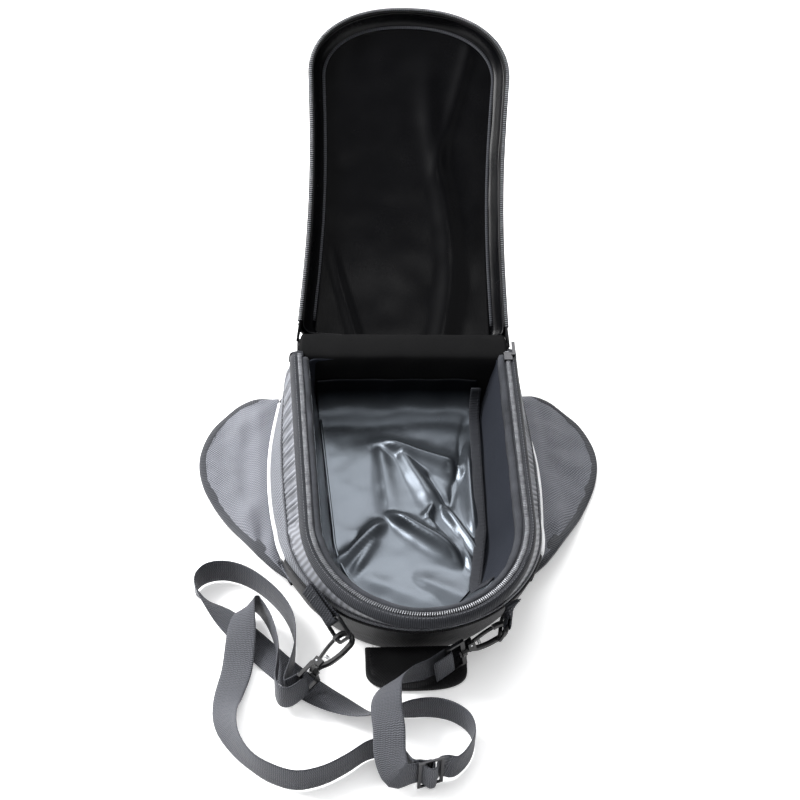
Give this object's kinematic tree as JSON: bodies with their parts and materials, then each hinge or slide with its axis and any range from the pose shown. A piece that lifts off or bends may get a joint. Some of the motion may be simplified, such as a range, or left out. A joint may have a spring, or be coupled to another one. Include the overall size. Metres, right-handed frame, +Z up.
{
  "type": "motorcycle tank bag",
  "caption": "Open soft tank bag with a zipped, hinged lid, magnetic side wings and front flap, felt-lined cavity and a webbing strap clipped on with swivel hooks.",
  "frame": {"origin": "underside of the base, on its centre line, below the straight part of the sides", "axes": "+Z up, +Y towards the lid hinge, the front flap and strap point to -Y"},
  "size_m": [0.3566, 0.6739, 0.2788],
  "materials": {
    "outer_nylon": "coarse plain-weave nylon, matt",
    "black_nylon": "black woven nylon, matt",
    "mesh_fabric": "fine twill mesh, matt",
    "ribbed_band": "puckered ribbed fabric",
    "zip_tape": "woven zip tape",
    "zip_coil": "moulded coil, satin",
    "reflective_piping": "pale reflective piping",
    "binding": "woven edge binding",
    "liner_sheet": "grey coated sheet, satin and creased",
    "felt": "dark brushed felt",
    "lid_coated_lining": "black coated lining, glossy",
    "foam": "soft foam",
    "board": "stiffening board",
    "magnet_sheet": "flexible magnet sheet",
    "webbing": "ribbed woven webbing",
    "black_plastic": "moulded black acetal, satin",
    "plated_metal": "nickel plated"
  },
  "bodies": {
    "bag": {"boxing": "outer_nylon", "wing_root_left": "outer_nylon", "wing_root_right": "outer_nylon", "base_skin": "black_nylon", "rear_web": "black_nylon", "side_wall": "mesh_fabric", "rim_band": "ribbed_band", "body_zip_tape": "zip_tape", "body_zip_coil": "zip_coil", "piping": "reflective_piping", "rim_binding": "binding", "liner_seam_tape": "binding", "liner": "liner_sheet", "wall_lining": "felt", "wall_padding": "foam", "base_stiffener": "board", "strap": "webbing", "strap_tab_left": "webbing", "strap_tab_right": "webbing", "hook_eye_left": "black_plastic", "hook_eye_right": "black_plastic", "strap_adjuster": "plated_metal"},
    "lid": {"lid_zip_coil": "zip_coil", "lid_zip_tape": "zip_tape", "lid_side_band": "black_nylon", "lid_side_lining": "lid_coated_lining", "lid_panel": "black_nylon", "lid_stiffener": "board", "lid_lining": "lid_coated_lining", "lid_binding": "binding", "lid_hinge_web": "black_nylon"},
    "wing_left": {"wing_top_left": "outer_nylon", "wing_backing_left": "black_nylon", "wing_binding_left": "binding", "wing_magnet_left": "magnet_sheet"},
    "wing_right": {"wing_top_right": "outer_nylon", "wing_backing_right": "black_nylon", "wing_binding_right": "binding", "wing_magnet_right": "magnet_sheet"},
    "front_flap": {"flap_top": "black_nylon", "flap_backing": "black_nylon", "flap_binding": "binding", "flap_magnet": "magnet_sheet"},
    "slider": {"zip_slider": "plated_metal"},
    "pull": {"zip_pull": "plated_metal"},
    "tab_ring_left": {"ring_left": "black_plastic"},
    "tab_ring_right": {"ring_right": "black_plastic"},
    "snap_hook_left": {"hook_left": "black_plastic", "gate_pin_left": "plated_metal", "gate_spring_left": "plated_metal"},
    "snap_hook_right": {"hook_right": "black_plastic", "gate_pin_right": "plated_metal", "gate_spring_right": "plated_metal"},
    "hook_gate_left": {"gate_left": "black_plastic"},
    "hook_gate_right": {"gate_right": "black_plastic"}
  },
  "joints": [
    {"name": "lid_hinge", "type": "hinge", "parent": "bag", "child": "lid", "pos_m": [0.005, 0.159, 0.0785], "axis": [0.9989, -0.0431, -0.0157], "range_deg": [-15, 140]},
    {"name": "zip_slide", "type": "slide", "parent": "bag", "child": "slider", "axis": [-0.025, -0.9997, 0], "range_m": [0, 0.17]},
    {"name": "pull_swing", "type": "hinge", "parent": "slider", "child": "pull", "pos_m": [0.10316, 0.14436, 0.0768], "axis": [0, 0, -1], "range_deg": [0, 170]},
    {"name": "wing_fold_left", "type": "hinge", "parent": "bag", "child": "wing_left", "pos_m": [-0.1225, 0, 0.016], "axis": [0, 1, 0], "range_deg": [-35, 75]},
    {"name": "wing_fold_right", "type": "hinge", "parent": "bag", "child": "wing_right", "pos_m": [0.1225, 0, 0.016], "axis": [0, -1, 0], "range_deg": [-35, 75]},
    {"name": "front_flap_fold", "type": "hinge", "parent": "bag", "child": "front_flap", "pos_m": [0, -0.1345, 0.009], "axis": [-1, 0, 0], "range_deg": [-45, 5]},
    {"name": "ring_swing_left", "type": "hinge", "parent": "bag", "child": "tab_ring_left", "pos_m": [-0.0665, -0.129, 0.044], "axis": [0.3273, -0.4135, 0.8496], "range_deg": [-6, 0]},
    {"name": "hook_swivel_left", "type": "hinge", "parent": "bag", "child": "snap_hook_left", "pos_m": [-0.05769, -0.14167, 0.03424], "axis": [-0.6938, -0.6734, -0.2551], "range_deg": [-12, 12]},
    {"name": "gate_left", "type": "hinge", "parent": "snap_hook_left", "child": "hook_gate_left", "pos_m": [-0.07921, -0.15699, 0.02736], "axis": [0.183, 0.1777, -0.9669], "range_deg": [0, 20], "stiffness_Nm_per_rad": 0.02, "springref_deg": -5.73, "deforming": ["gate_spring_left"]},
    {"name": "ring_swing_right", "type": "hinge", "parent": "bag", "child": "tab_ring_right", "pos_m": [0.0715, -0.1325, 0.0455], "axis": [-0.189, -0.982, -0.0025], "range_deg": [-6, 0]},
    {"name": "hook_swivel_right", "type": "hinge", "parent": "bag", "child": "snap_hook_right", "pos_m": [0.06563, -0.13196, 0.03083], "axis": [-0.8687, -0.4646, -0.1717], "range_deg": [-12, 12]},
    {"name": "gate_right", "type": "hinge", "parent": "snap_hook_right", "child": "hook_gate_right", "pos_m": [0.04112, -0.14395, 0.03001], "axis": [-0.4197, 0.8745, -0.2431], "range_deg": [0, 20], "stiffness_Nm_per_rad": 0.02, "springref_deg": -5.73, "deforming": ["gate_spring_right"]}
  ]
}
